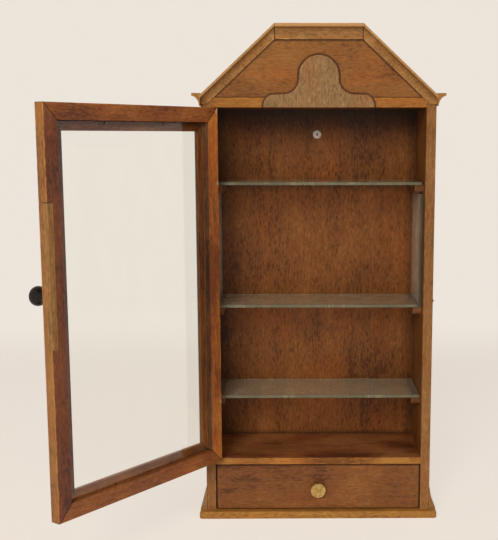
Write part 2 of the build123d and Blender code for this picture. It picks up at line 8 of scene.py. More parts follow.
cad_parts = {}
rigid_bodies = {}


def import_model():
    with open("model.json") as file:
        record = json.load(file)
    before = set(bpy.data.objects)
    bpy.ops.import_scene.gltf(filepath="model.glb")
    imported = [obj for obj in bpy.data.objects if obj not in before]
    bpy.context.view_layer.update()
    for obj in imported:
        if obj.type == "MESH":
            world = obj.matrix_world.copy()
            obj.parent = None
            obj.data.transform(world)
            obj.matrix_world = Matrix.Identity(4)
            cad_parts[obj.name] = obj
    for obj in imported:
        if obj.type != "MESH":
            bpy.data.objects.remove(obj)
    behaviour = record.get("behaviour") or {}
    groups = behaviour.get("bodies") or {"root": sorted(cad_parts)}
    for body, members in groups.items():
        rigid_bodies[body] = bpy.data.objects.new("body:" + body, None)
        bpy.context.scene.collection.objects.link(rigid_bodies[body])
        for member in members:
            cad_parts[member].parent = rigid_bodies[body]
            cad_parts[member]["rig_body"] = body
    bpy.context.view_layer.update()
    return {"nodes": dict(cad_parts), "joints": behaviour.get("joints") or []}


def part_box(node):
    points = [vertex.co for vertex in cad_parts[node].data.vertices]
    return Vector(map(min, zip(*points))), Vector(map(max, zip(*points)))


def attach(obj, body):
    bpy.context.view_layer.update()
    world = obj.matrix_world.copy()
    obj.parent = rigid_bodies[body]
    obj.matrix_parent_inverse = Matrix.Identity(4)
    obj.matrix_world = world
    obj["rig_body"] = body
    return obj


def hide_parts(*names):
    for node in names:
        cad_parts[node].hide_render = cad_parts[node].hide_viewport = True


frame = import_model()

scene = bpy.context.scene
nodes = frame["nodes"]
levels = ("upper", "middle", "lower")
print("packed cabinet loaded,", len(nodes), "nodes")

sharpAngle = math.radians(30)
noseRadius = 0.0036
quarterTurn = math.pi / 2
slopeAngle = 0.75

# the door is stored turned open, so its grain is laid in its own frame: x across, y through, z up
doorJoint = [j for j in frame["joints"] if j["name"] == "door_hinge"][0]
hingePoint = Vector(doorJoint["pos_m"])
doorTurn = math.radians(doorJoint["range_deg"][1])
doorToFlat = Matrix.Rotation(doorTurn, 4, "Z") @ Matrix.Translation(-hingePoint)
flatToDoor = doorToFlat.inverted()


def shade(red, green, blue):  # display values 0 to 255 into the linear ones Blender wants
    out = []
    for c in (red, green, blue):
        c = c / 255
        out.append(c / 12.92 if c <= 0.04045 else ((c + 0.055) / 1.055) ** 2.4)
    return (*out, 1.0)


def isDoor(name):
    return nodes[name].get("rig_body") == "door"


def flatFrame(name):
    return doorToFlat if isDoor(name) else Matrix.Identity(4)


def extent(points):
    low = Vector([min(p[i] for p in points) for i in range(3)])
    high = Vector([max(p[i] for p in points) for i in range(3)])
    return low, high


# small helpers for shader trees
def put(tree, kind, **settings):
    node = tree.nodes.new("ShaderNode" + kind)
    for key, value in settings.items():
        setattr(node, key, value)
    return node


def feed(tree, socket, value):
    if isinstance(value, bpy.types.NodeSocket):
        tree.links.new(value, socket)
    elif value is not None:
        socket.default_value = value


def sums(tree, operation, a, b=None, c=None):
    node = put(tree, "Math", operation=operation)
    for i, value in enumerate((a, b, c)):
        feed(tree, node.inputs[i], value)
    return node.outputs[0]


def remap(tree, value, low, high, outLow=0.0, outHigh=1.0):
    node = put(tree, "MapRange", interpolation_type="SMOOTHSTEP")
    feed(tree, node.inputs[0], value)
    for i, v in enumerate((low, high, outLow, outHigh)):
        feed(tree, node.inputs[i + 1], v)
    return node.outputs[0]


def stretched(tree, vector, scale):
    node = put(tree, "VectorMath", operation="MULTIPLY")
    feed(tree, node.inputs[0], vector)
    node.inputs[1].default_value = scale
    return node.outputs[0]


def cloud(tree, vector, detail=2.0, roughness=0.5, wantColour=False):
    node = put(tree, "TexNoise")
    feed(tree, node.inputs["Vector"], vector)
    node.inputs["Scale"].default_value = 1.0
    node.inputs["Detail"].default_value = detail
    node.inputs["Roughness"].default_value = roughness
    return node.outputs["Color" if wantColour else "Fac"]


def blend(tree, factor, a, b, kind="MIX"):
    node = put(tree, "Mix", data_type="RGBA", blend_type=kind)
    feed(tree, node.inputs["Factor"], factor)
    feed(tree, node.inputs[6], a)
    feed(tree, node.inputs[7], b)
    return node.outputs[2]


def groupSocket(group, name, kind, inOut="INPUT", value=None):
    socket = group.interface.new_socket(name, in_out=inOut, socket_type="NodeSocket" + kind)
    if value is not None:
        socket.default_value = value
    return socket


# distance from a point of a box-shaped board to its nearest edge
def makeEdgeGroup():
    group = bpy.data.node_groups.new("edgeDistance", "ShaderNodeTree")
    groupSocket(group, "Place", "Vector")
    groupSocket(group, "Low", "Vector")
    groupSocket(group, "High", "Vector")
    groupSocket(group, "Distance", "Float", "OUTPUT")
    start = group.nodes.new("NodeGroupInput")
    end = group.nodes.new("NodeGroupOutput")
    toLow = put(group, "VectorMath", operation="SUBTRACT")
    toHigh = put(group, "VectorMath", operation="SUBTRACT")
    nearest = put(group, "VectorMath", operation="MINIMUM")
    parts = put(group, "SeparateXYZ")
    group.links.new(start.outputs["Place"], toLow.inputs[0])
    group.links.new(start.outputs["Low"], toLow.inputs[1])
    group.links.new(start.outputs["High"], toHigh.inputs[0])
    group.links.new(start.outputs["Place"], toHigh.inputs[1])
    group.links.new(toLow.outputs[0], nearest.inputs[0])
    group.links.new(toHigh.outputs[0], nearest.inputs[1])
    group.links.new(nearest.outputs[0], parts.inputs[0])
    x, y, z = parts.outputs
    small = sums(group, "MINIMUM", x, y)
    large = sums(group, "MAXIMUM", x, y)
    middle = sums(group, "MAXIMUM", small, sums(group, "MINIMUM", large, z))
    group.links.new(middle, end.inputs[0])
    return group


# stained and waxed timber: place has the grain along z
def makeTimberGroup():
    group = bpy.data.node_groups.new("waxedTimber", "ShaderNodeTree")
    groupSocket(group, "Place", "Vector")
    for name in ("Dark", "Middle", "Light"):
        groupSocket(group, name, "Color")
    for name in ("Streaks", "Flecks", "Figure", "Pores", "Patches", "Wear", "Polish"):
        groupSocket(group, name, "Float")
    groupSocket(group, "Edge", "Float", value=1.0)
    groupSocket(group, "Colour", "Color", "OUTPUT")
    groupSocket(group, "Roughness", "Float", "OUTPUT")
    groupSocket(group, "Height", "Float", "OUTPUT")
    start = group.nodes.new("NodeGroupInput")
    end = group.nodes.new("NodeGroupOutput")
    given = start.outputs
    along = given["Place"]
    for scale, sway in (((26, 26, 9), 0.011), ((150, 150, 75), 0.0045)):  # slow wander, then quick ripple
        swing = put(group, "VectorMath", operation="SUBTRACT")
        noise = cloud(group, stretched(group, given["Place"], scale), 2.0, 0.5, True)
        feed(group, swing.inputs[0], noise)
        swing.inputs[1].default_value = (0.5, 0.5, 0.5)
        moved = put(group, "VectorMath", operation="ADD")
        feed(group, moved.inputs[0], along)
        feed(group, moved.inputs[1], stretched(group, swing.outputs[0], (sway, sway, 0.0)))
        along = moved.outputs[0]
    fleck = cloud(group, stretched(group, along, (640, 640, 170)), 3.0, 0.7)
    streak = cloud(group, stretched(group, along, (430, 430, 14)), 4.0, 0.62)
    bands = cloud(group, stretched(group, along, (70, 70, 5)), 2.0, 0.5)
    fibre = cloud(group, stretched(group, along, (1500, 1500, 60)), 3.0, 0.6)
    pore = remap(group, cloud(group, stretched(group, along, (1500, 1500, 150)), 2.0, 0.55), 0.50, 0.66)
    poreCloud = cloud(group, stretched(group, along, (120, 120, 30)), 2.0)
    poreField = remap(group, poreCloud, 0.35, 0.6, 0.25, 1.0)
    pores = sums(group, "MULTIPLY", pore, poreField)
    patch = cloud(group, stretched(group, given["Place"], (20, 20, 13)), 3.0, 0.55)
    parts = put(group, "SeparateXYZ")
    feed(group, parts.inputs[0], along)
    ringPlace = sums(group, "MULTIPLY_ADD", parts.outputs[1], 0.55, parts.outputs[0])
    ringPlace = sums(group, "MULTIPLY_ADD", bands, 0.012, ringPlace)
    ringWave = sums(group, "SINE", sums(group, "MULTIPLY", ringPlace, 1500.0))
    ring = remap(group, ringWave, 0.1, 1.0)
    tone = 0.5
    for pattern, share in (
        (streak, given["Streaks"]), (bands, 0.35), (fleck, given["Flecks"]), (patch, given["Patches"]),
        (fibre, 0.45),
    ):
        tone = sums(group, "MULTIPLY_ADD", sums(group, "SUBTRACT", pattern, 0.5), share, tone)
    lower = blend(group, remap(group, tone, 0.22, 0.5), given["Dark"], given["Middle"])
    colour = blend(group, remap(group, tone, 0.5, 0.8), lower, given["Light"])
    ringShade = sums(group, "MULTIPLY", ring, given["Figure"])
    colour = blend(group, sums(group, "MULTIPLY", ringShade, 0.55), colour, given["Dark"])
    redCloud = cloud(group, stretched(group, given["Place"], (40, 40, 15)), 2.0)
    redder = blend(group, 1.0, colour, (1.25, 0.86, 0.62, 1), "MULTIPLY")
    colour = blend(group, remap(group, redCloud, 0.5, 0.72, 0.0, 0.34), colour, redder)
    poreShade = sums(group, "MULTIPLY", pores, given["Pores"])
    deep = blend(group, 1.0, given["Dark"], (0.5, 0.44, 0.4, 1), "MULTIPLY")
    colour = blend(group, poreShade, colour, deep)
    grime = cloud(group, stretched(group, given["Place"], (110, 110, 70)), 3.0)
    colour = blend(group, remap(group, grime, 0.56, 0.74, 0.0, 0.22), colour, deep)
    chipping = cloud(group, stretched(group, given["Place"], (330, 330, 120)), 3.0, 0.6)
    reach = remap(group, chipping, 0.35, 0.75, 0.0001, 0.0016)
    worn = remap(group, sums(group, "SUBTRACT", reach, given["Edge"]), -0.0003, 0.0006)
    worn = sums(group, "MULTIPLY", worn, given["Wear"])
    pale = blend(group, 1.0, given["Light"], (1.32, 1.25, 1.15, 1), "MULTIPLY")
    colour = blend(group, worn, colour, pale)
    rough = sums(group, "MULTIPLY_ADD", sums(group, "SUBTRACT", patch, 0.5), 0.22, given["Polish"])
    rough = sums(group, "MULTIPLY_ADD", poreShade, 0.2, rough)
    rough = sums(group, "MULTIPLY_ADD", worn, 0.15, rough)
    height = sums(group, "MULTIPLY_ADD", fibre, 0.4, sums(group, "MULTIPLY", ring, 0.12))
    height = sums(group, "MULTIPLY_ADD", fleck, 0.6, height)
    height = sums(group, "SUBTRACT", height, sums(group, "MULTIPLY", poreShade, 0.8))
    height = sums(group, "SUBTRACT", height, sums(group, "MULTIPLY", worn, 0.3))
    feed(group, end.inputs["Colour"], colour)
    feed(group, end.inputs["Roughness"], rough)
    feed(group, end.inputs["Height"], height)
    return group


edgeGroup = makeEdgeGroup()
timberGroup = makeTimberGroup()

# colours of the stain on each kind of piece: dark, middle, light
stains = {
    "sideBoard": ((86, 49, 24), (122, 76, 38), (146, 95, 50)),
    "sideEdge": ((110, 70, 34), (143, 97, 52), (165, 121, 71)),
    "backBoard": ((78, 43, 18), (121, 72, 34), (143, 91, 45)),
    "backRaw": ((84, 54, 32), (124, 86, 52), (150, 110, 70)),
    "floorBoard": ((94, 49, 27), (134, 80, 45), (160, 103, 59)),
    "rail": ((119, 71, 28), (158, 102, 43), (177, 123, 57)),
    # the ceiling board's stain is darkened as painted shade under the header
    "ceiling": ((70, 42, 21), (100, 63, 32), (120, 78, 40)),
    "roof": ((92, 57, 29), (136, 89, 46), (160, 110, 59)),
    "pediment": ((96, 58, 28), (137, 88, 43), (152, 101, 51)),
    "bell": ((107, 77, 48), (145, 109, 71), (164, 131, 87)),
    # the bell's rounded rim takes a darker copy of its stain: painted shade
    "bellRimShade": ((60, 38, 22), (92, 60, 36), (118, 80, 48)),
    "doorHinge": ((118, 62, 28), (171, 100, 44), (199, 129, 61)),
    "doorInner": ((66, 40, 24), (100, 66, 42), (120, 84, 54)),
    "doorFree": ((76, 37, 22), (118, 64, 36), (146, 88, 48)),
    "moulding": ((117, 78, 40), (159, 113, 62), (187, 142, 86)),
    "flare": ((118, 82, 48), (150, 108, 66), (176, 133, 85)),
    "base": ((131, 86, 39), (177, 123, 55), (202, 155, 83)),
    "cleat": ((76, 44, 24), (114, 72, 42), (138, 93, 54)),
    "doorFace": ((96, 49, 22), (142, 80, 35), (172, 106, 51)),
    "doorEdge": ((112, 66, 29), (158, 105, 49), (182, 130, 66)),
    "patch": ((104, 70, 36), (148, 106, 58), (178, 132, 78)),
    "drawerFront": ((84, 46, 22), (129, 78, 38), (152, 98, 48)),
    "drawerBox": ((120, 80, 42), (164, 118, 67), (186, 141, 85)),
}
# colour of the dark lines: dirt in joints, and painted shade in corners and under parts
dirtAndShadeColour = (20, 11, 7)
paleSpotColour = (204, 170, 128)
rubbedArris = (206, 156, 100)
rubbedSlope = (200, 152, 98)


def timber(title, node, seed, stain, grain="z", streaks=0.5, flecks=0.9, figure=0.2, pores=0.4,
           patches=0.8, wear=0.5, polish=0.45, seamsAndShade=(), paleSpots=()):
    material = bpy.data.materials.new(title)
    material.use_nodes = True
    tree = material.node_tree
    shader = tree.nodes["Principled BSDF"]
    place = put(tree, "TexCoord").outputs["Object"]
    toFrame = flatFrame(node)
    if isDoor(node):
        flat = put(tree, "Mapping")
        feed(tree, flat.inputs["Vector"], place)
        flat.inputs["Location"].default_value = toFrame.to_translation()
        flat.inputs["Rotation"].default_value = (0, 0, doorTurn)
        place = flat.outputs[0]
    turned = put(tree, "Mapping")
    feed(tree, turned.inputs["Vector"], place)
    turned.inputs["Location"].default_value = (0.37 * seed, 0.61 * seed, 0.23 * seed)
    turned.inputs["Rotation"].default_value = {
        "z": (0, 0, 0), "x": (0, -quarterTurn, 0), "y": (quarterTurn, 0, 0),
    }.get(grain, grain)
    wood = tree.nodes.new("ShaderNodeGroup")
    wood.node_tree = timberGroup
    feed(tree, wood.inputs["Place"], turned.outputs[0])
    for name, colour in zip(("Dark", "Middle", "Light"), stains[stain]):
        wood.inputs[name].default_value = shade(*colour)
    for name, value in (("Streaks", streaks), ("Flecks", flecks), ("Figure", figure), ("Pores", pores),
                        ("Patches", patches), ("Wear", wear), ("Polish", polish)):
        wood.inputs[name].default_value = value
    edge = tree.nodes.new("ShaderNodeGroup")
    edge.node_tree = edgeGroup
    feed(tree, edge.inputs["Place"], place)
    low, high = extent([toFrame @ v.co for v in nodes[node].data.vertices])
    edge.inputs["Low"].default_value = low
    edge.inputs["High"].default_value = high
    feed(tree, wood.inputs["Edge"], edge.outputs[0])
    relief = put(tree, "Bump")
    relief.inputs["Strength"].default_value = 0.35
    relief.inputs["Distance"].default_value = 0.0004
    feed(tree, relief.inputs["Height"], wood.outputs["Height"])
    colour = wood.outputs["Colour"]
    ragged = cloud(tree, stretched(tree, place, (500, 500, 500)), 3.0)
    # dark lines across the surface: dirt in joints and painted shade; a line with a tint of its own uses that
    # tint instead
    for normal, offset, reach, strength, *tint in seamsAndShade:
        beside = put(tree, "VectorMath", operation="DOT_PRODUCT")
        feed(tree, beside.inputs[0], place)
        beside.inputs[1].default_value = Vector(normal).normalized()
        away = sums(tree, "ABSOLUTE", sums(tree, "SUBTRACT", beside.outputs["Value"], offset))
        away = sums(tree, "MULTIPLY", away, sums(tree, "ADD", ragged, 0.5))
        near = remap(tree, away, 0.0, reach, strength, 0.0)
        colour = blend(tree, near, colour, shade(*(tint or dirtAndShadeColour)))
    for centre, reach in paleSpots:  # small pale spots laid over the stain
        away = put(tree, "VectorMath", operation="DISTANCE")
        feed(tree, away.inputs[0], place)
        away.inputs[1].default_value = centre
        far = sums(tree, "MULTIPLY", away.outputs["Value"], sums(tree, "ADD", ragged, 0.5))
        near = remap(tree, far, 0.5 * reach, reach, 0.85, 0.0)
        colour = blend(tree, near, colour, shade(*paleSpotColour))
    feed(tree, shader.inputs["Base Color"], colour)
    feed(tree, shader.inputs["Roughness"], wood.outputs["Roughness"])
    feed(tree, shader.inputs["Normal"], relief.outputs[0])
    shader.inputs["Specular IOR Level"].default_value = 0.32
    return material


def metal(title, colour, spots, roughness=0.35, scratch=0.25, ringsAt=None, metallic=1.0, recessShade=0.0):
    material = bpy.data.materials.new(title)
    material.use_nodes = True
    tree = material.node_tree
    shader = tree.nodes["Principled BSDF"]
    place = put(tree, "TexCoord").outputs["Object"]
    tarnish = cloud(tree, stretched(tree, place, (420, 420, 420)), 4.0, 0.6)
    fine = cloud(tree, stretched(tree, place, (3200, 3200, 900)), 2.0, 0.5)
    mixed = blend(tree, remap(tree, tarnish, 0.38, 0.72), shade(*colour), shade(*spots))
    height = sums(tree, "MULTIPLY", fine, scratch)
    if ringsAt is not None:  # turning marks round an axis along y
        centre = put(tree, "VectorMath", operation="SUBTRACT")
        feed(tree, centre.inputs[0], place)
        centre.inputs[1].default_value = ringsAt
        flat = stretched(tree, centre.outputs[0], (1, 0, 1))
        length = put(tree, "VectorMath", operation="LENGTH")
        feed(tree, length.inputs[0], flat)
        # the middle of the head is painted dark: painted shade in the screw's recess
        if recessShade:
            inside = remap(tree, length.outputs["Value"], 0.4 * recessShade, recessShade, 0.9, 0.0)
            mixed = blend(tree, inside, mixed, shade(30, 28, 26))
        marks = sums(tree, "SINE", sums(tree, "MULTIPLY", length.outputs["Value"], 11000.0))
        height = sums(tree, "MULTIPLY_ADD", marks, 0.22, height)
    relief = put(tree, "Bump")
    relief.inputs["Strength"].default_value = 0.3
    relief.inputs["Distance"].default_value = 0.0002
    feed(tree, relief.inputs["Height"], height)
    feed(tree, shader.inputs["Base Color"], mixed)
    feed(tree, shader.inputs["Roughness"], remap(tree, tarnish, 0.3, 0.75, roughness, roughness + 0.3))
    feed(tree, shader.inputs["Normal"], relief.outputs[0])
    shader.inputs["Metallic"].default_value = metallic
    return material


def glass(title, tint, roughness, smear, clear, dust=0.0):
    material = bpy.data.materials.new(title)
    material.use_nodes = True
    tree = material.node_tree
    shader = tree.nodes["Principled BSDF"]
    output = tree.nodes["Material Output"]
    place = put(tree, "TexCoord").outputs["Object"]
    film = cloud(tree, stretched(tree, place, (55, 55, 30)), 4.0, 0.6)
    filmed = blend(tree, remap(tree, film, 0.35, 0.75), shade(*tint), shade(*clear))
    feed(tree, shader.inputs["Base Color"], filmed)
    feed(tree, shader.inputs["Roughness"], remap(tree, film, 0.45, 0.8, roughness, roughness + smear))
    shader.inputs["Transmission Weight"].default_value = 1.0 - dust
    shader.inputs["IOR"].default_value = 1.5
    through = put(tree, "BsdfTransparent")
    through.inputs["Color"].default_value = shade(*tint)
    mix = put(tree, "MixShader")
    feed(tree, mix.inputs[0], put(tree, "LightPath").outputs["Is Shadow Ray"])
    feed(tree, mix.inputs[1], shader.outputs[0])
    feed(tree, mix.inputs[2], through.outputs[0])
    feed(tree, output.inputs["Surface"], mix.outputs[0])
    return material


def dress(node, material):
    data = nodes[node].data
    data.materials.clear()
    data.materials.append(material)


def evenNormals(mesh):  # wide flat faces keep flat shading right up to a rounded arris
    around = [[] for v in mesh.vertices]
    for polygon in mesh.polygons:
        for v in polygon.vertices:
            around[v].append((polygon.normal.copy(), polygon.area))
    wanted = []
    for polygon in mesh.polygons:
        for v in polygon.vertices:
            mean = Vector((0, 0, 0))
            for normal, area in around[v]:
                if normal.angle(polygon.normal, math.pi) < sharpAngle:
                    mean += normal * area
            wanted.append(mean.normalized() if mean.length > 0 else polygon.normal)
    mesh.normals_split_custom_set(wanted)


# a cleaned copy of a CAD node, with its long arrises taken off
def softBoard(node, materials, width, shortest=0.025, choose=None, reshape=None):
    mesh = nodes[node].data.copy()
    mesh.attributes.remove(mesh.attributes["custom_normal"])
    mesh.materials.clear()
    for material in materials:
        mesh.materials.append(material)
    work = bmesh.new()
    work.from_mesh(mesh)
    bmesh.ops.remove_doubles(work, verts=work.verts, dist=2e-6)
    bmesh.ops.dissolve_limit(work, angle_limit=math.radians(0.6), verts=work.verts, edges=work.edges)
    if reshape:
        reshape(work)
    weight = work.edges.layers.float.new("bevel_weight_edge")
    for e in work.edges:
        sharp = e.is_manifold and e.calc_face_angle(0.0) > math.radians(28)
        e[weight] = 1.0 if sharp and e.calc_length() > shortest else 0.0
    for f in work.faces:
        f.smooth = True
        f.material_index = 0
    work.to_mesh(mesh)
    work.free()
    rough = bpy.data.objects.new(node + "_rough", mesh)
    scene.collection.objects.link(rough)
    if width:
        bevel = rough.modifiers.new("arris", "BEVEL")
        bevel.width = width
        bevel.segments = 2
        bevel.limit_method = "WEIGHT"
        bevel.use_clamp_overlap = False
    bpy.context.view_layer.update()
    finished = bpy.data.meshes.new_from_object(rough.evaluated_get(bpy.context.evaluated_depsgraph_get()))
    bpy.data.objects.remove(rough)
    finished.set_sharp_from_angle(angle=sharpAngle)
    evenNormals(finished)
    if choose:
        turn = flatFrame(node).to_3x3()
        for polygon in finished.polygons:
            polygon.material_index = choose(turn @ polygon.normal)
    piece = bpy.data.objects.new(node + "_piece", finished)
    scene.collection.objects.link(piece)
    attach(piece, nodes[node]["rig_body"])
    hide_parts(node)


def broadRounding(work):  # the bell again from its back outline, with a wide soft edge
    back = max(v.co.y for v in work.verts)
    front = min(v.co.y for v in work.verts)
    others = [f for f in work.faces if min(v.co.y for v in f.verts) < back - 1e-5]
    bmesh.ops.delete(work, geom=others, context="FACES")
    made = bmesh.ops.extrude_face_region(work, geom=work.faces[:], use_keep_orig=True)
    moved = [v for v in made["geom"] if isinstance(v, bmesh.types.BMVert)]
    bmesh.ops.translate(work, verts=moved, vec=(0, front - back, 0))
    low = min(v.co.z for v in work.verts)
    faceEdges = [e for e in work.edges if max(v.co.y for v in e.verts) < front + 1e-5]
    rim = [e for e in faceEdges if max(v.co.z for v in e.verts) > low + 1e-5]
    bmesh.ops.bevel(
        work, geom=rim, offset=noseRadius, offset_type="OFFSET", segments=6, profile=0.5, affect="EDGES")
    bmesh.ops.recalc_face_normals(work, faces=work.faces)


# lines of colour: dirt in joints, rubbed arrises, and painted shade in corners, under the header and shelves,
# below and in the steps of the mouldings and round the drawer front: direction across, place along it, reach,
# strength and an optional tint
across, upward = (1, 0, 0), (0, 0, 1)
roofLow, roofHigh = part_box("roof_flat")
roofTop, roofHalf = roofHigh.z, roofHigh.x
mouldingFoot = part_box("top_moulding")[0].z
slopeLow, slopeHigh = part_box("roof_slope_right")
slopeCut = slopeHigh.z - slopeLow.z - (roofHigh.z - roofLow.z)
rakeFall = slopeCut / (slopeHigh.x - slopeLow.x)
mouldingStep = 0.0034
arrisDrop = 0.0012


def rakeLine(side, height, reach, strength):  # a line parallel to the sloping roof
    over = Vector((side * rakeFall, 0, 1))
    return over, (rakeFall * roofHalf + height) / over.length, reach, strength


def mitreSeam(x, z, lean):  # a mitre through one corner of the door
    over = Vector((1, 0, lean)).normalized()
    return over, over.x * x + over.z * z, 0.0008, 0.8


shelfBoxes = {level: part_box(f"glass_shelf_{level}") for level in levels}
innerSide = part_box("right_side")[0].x
# painted shade on the back panel: the header's shadow across the top, shade in the corners at both sides and
# at the floor, and a shadow under each shelf
backPaintedShade = [
    (upward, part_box("top_rail")[0].z + 0.002, 0.034, 0.85), (across, innerSide, 0.014, 0.5),
    (across, -innerSide, 0.014, 0.5), (upward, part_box("floor_board")[1].z, 0.006, 0.6),
]
backPaintedShade += [(upward, low.z - 0.003, 0.009, 0.5) for low, high in shelfBoxes.values()]
# painted shadow on the pediment panel just below the top and raking mouldings; the line at the rail's top
# edge is a dark joint
panelShadeAndSeam = [
    (upward, mouldingFoot, 0.0028, 0.9), rakeLine(1, mouldingFoot, 0.0022, 0.85),
    rakeLine(-1, mouldingFoot, 0.0022, 0.85), (upward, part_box("top_rail")[1].z, 0.0012, 0.7),
]
# top moulding: dark mitre joints at both ends, painted shade along the step in its profile, and a paler
# rubbed band at its top arris
topSeamsAndShade = [
    (across, roofHalf, 0.0009, 0.9), (across, -roofHalf, 0.0009, 0.9),
    (upward, roofTop - mouldingStep - 0.0003, 0.0009, 0.6),
    (upward, roofTop - arrisDrop, 0.0036, 0.75, *rubbedArris),
]
# raking mouldings: a dark mitre joint at the top, painted shade along the step in the profile, and a paler
# rubbed band at the upper arris
rakeSeamsAndShade = {side: [
    (across, side * roofHalf, 0.0009, 0.9), rakeLine(side, roofTop - mouldingStep, 0.0008, 0.6),
    (*rakeLine(side, roofTop - arrisDrop, 0.0026, 0.5), *rubbedSlope),
] for side in (-1, 1)}
drawerLow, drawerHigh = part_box("drawer_front")
# painted shade of the gap round the drawer front, along its four edges
drawerGapShade = [
    (across, drawerLow.x, 0.0017, 0.95), (across, drawerHigh.x, 0.0017, 0.95),
    (upward, drawerHigh.z, 0.0015, 0.95), (upward, drawerLow.z, 0.0015, 0.9),
]

frameNodes = [name for name in nodes if name.startswith(("door_stile", "door_rail"))]
doorLow, doorHigh = extent([doorToFlat @ v.co for name in frameNodes for v in nodes[name].data.vertices])
mitres = {
    "hingeLow": mitreSeam(doorLow.x, doorLow.z, -1), "hingeHigh": mitreSeam(doorLow.x, doorHigh.z, 1),
    "freeLow": mitreSeam(doorHigh.x, doorLow.z, 1), "freeHigh": mitreSeam(doorHigh.x, doorHigh.z, -1),
}
patchLow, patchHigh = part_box("stile_patch")
patchSeams = [
    (upward, patchHigh.z - hingePoint.z, 0.0018, 0.95), (upward, patchLow.z - hingePoint.z, 0.001, 0.6),
]
# pale spots on the hinge stile: a chip at its top corner, and spots level with the tops of the upper and
# lower shelves
paleSpotHeights = [
    (doorHigh.z - 0.003, 0.0042), (shelfBoxes["upper"][1].z - hingePoint.z, 0.003),
    (shelfBoxes["lower"][1].z - hingePoint.z, 0.0026),
]
hingeStilePaleSpots = [(Vector((doorLow.x, doorHigh.y, height)), reach) for height, reach in paleSpotHeights]

# boards: stain, grain direction, width of the arris and how much each is worn
def frontEdgeRule(n):
    return int(n.y < -0.6)


def doorEdgeRule(n):
    return int(abs(n.x) > 0.7)


rearFace = 0.5
frontEdge = dict(edge="sideEdge", stain="sideBoard", grain="z", width=0.0006, wear=0.55)
doorBoard = dict(width=0.0005, polish=0.36)
doorRail = dict(doorBoard, stain="doorFace", grain="x", wear=0.5, shortest=0.012, patches=1.2)
doorStile = dict(doorBoard, grain="z", wear=0.7)
drawerBox = dict(stain="drawerBox", wear=0.1, polish=0.62)
cleat = dict(stain="cleat", grain="y", width=0.0004, shortest=0.02, wear=0.5)
boards = {
    "back_panel": dict(
        stain="backBoard", grain="z", width=0.0, figure=0.08, pores=0.5, streaks=0.35, flecks=1.2,
        patches=0.9, wear=0.0, polish=0.5, seamsAndShade=backPaintedShade, edge="backRaw",
        rule=lambda n: int(n.y > rearFace)),
    "base_board": dict(stain="base", grain="x", width=0.0, wear=0.5, figure=0.2),
    "floor_board": dict(stain="floorBoard", grain="x", width=0.0005, patches=2.2, edge="rail"),
    "ceiling_board": dict(stain="ceiling", grain="x", width=0.0002),
    "top_rail": dict(stain="rail", grain="x", width=0.0005, wear=0.5, figure=0.2),
    "roof_flat": dict(stain="roof", grain="x", width=0.0004),
    "pediment_panel": dict(
        stain="pediment", grain="x", width=0.0, figure=0.1, streaks=0.3, flecks=1.1, patches=1.2, wear=0.0,
        seamsAndShade=panelShadeAndSeam),
    "bell_applique": dict(
        stain="bell", grain="z", width=0.0, figure=0.1, flecks=1.2, streaks=0.4, pores=0.6, wear=0.0,
        edge="bellRimShade", reshape=broadRounding, rule=lambda n: int(n.y >= -0.9)),
    "top_moulding": dict(stain="moulding", grain="x", width=0.0003, wear=0.9, figure=0.1, seamsAndShade=topSeamsAndShade),
    "door_stile_hinge": dict(
        doorStile, stain="doorHinge", edge="doorInner", patches=1.2,
        seamsAndShade=[mitres["hingeLow"], mitres["hingeHigh"]], paleSpots=hingeStilePaleSpots),
    "door_stile_free": dict(
        doorStile, stain="doorFree", edge="doorEdge", patches=0.9,
        seamsAndShade=[mitres["freeLow"], mitres["freeHigh"]]),
    "door_rail_top": dict(doorRail, seamsAndShade=[mitres["hingeHigh"], mitres["freeHigh"]]),
    "door_rail_bottom": dict(doorRail, seamsAndShade=[mitres["hingeLow"], mitres["freeLow"]]),
    "stile_patch": dict(stain="patch", grain="z", width=0.0002, wear=0.3, seamsAndShade=patchSeams),
    "drawer_front": dict(
        stain="drawerFront", grain="x", width=0.0, figure=0.1, flecks=0.7, patches=1.4, polish=0.4, wear=0.25,
        seamsAndShade=drawerGapShade, edge="drawerFront", rule=lambda n: int(n.y > -rearFace)),
    "drawer_back": dict(drawerBox, grain="x", width=0.0003),
    "drawer_floor": dict(drawerBox, grain="x", width=0.0, wear=0.0),
}
for hand, side in (("left", -1), ("right", 1)):
    slope = (0, -quarterTurn + side * slopeAngle, 0)
    boards[f"{hand}_side"] = frontEdge
    boards[f"base_flare_{hand}"] = dict(stain="flare", grain="y", width=0.0002, wear=0.2)
    boards[f"side_cornice_{hand}"] = dict(stain="moulding", grain="y", width=0.0003, wear=0.3)
    boards[f"drawer_side_{hand}"] = dict(drawerBox, grain="y", width=0.0003)
    boards[f"roof_slope_{hand}"] = dict(stain="roof", grain=slope, width=0.0004)
    boards[f"rake_moulding_{hand}"] = dict(
        stain="moulding", grain=slope, width=0.0003, wear=0.2, figure=0.1, seamsAndShade=rakeSeamsAndShade[side])
    for level in levels:
        boards[f"cleat_{level}_{hand}"] = cleat

for seed, (node, choice) in enumerate(sorted(boards.items(), key=lambda item: item[0]), 1):
    look = dict(choice)
    width = look.pop("width")
    shortest = look.pop("shortest", 0.025)
    edgeStain = look.pop("edge", None)
    reshape = look.pop("reshape", None)
    rule = look.pop("rule", None)
    materials = [timber(node + "_timber", node, seed, **look)]
    if edgeStain:
        look["stain"] = edgeStain
        if rule:
            look["seamsAndShade"] = ()
        materials.append(timber(node + "_edge_timber", node, seed, **look))
        if not rule:
            rule = doorEdgeRule if isDoor(node) else frontEdgeRule
    softBoard(node, materials, width, shortest, rule, reshape)
print("boards done")

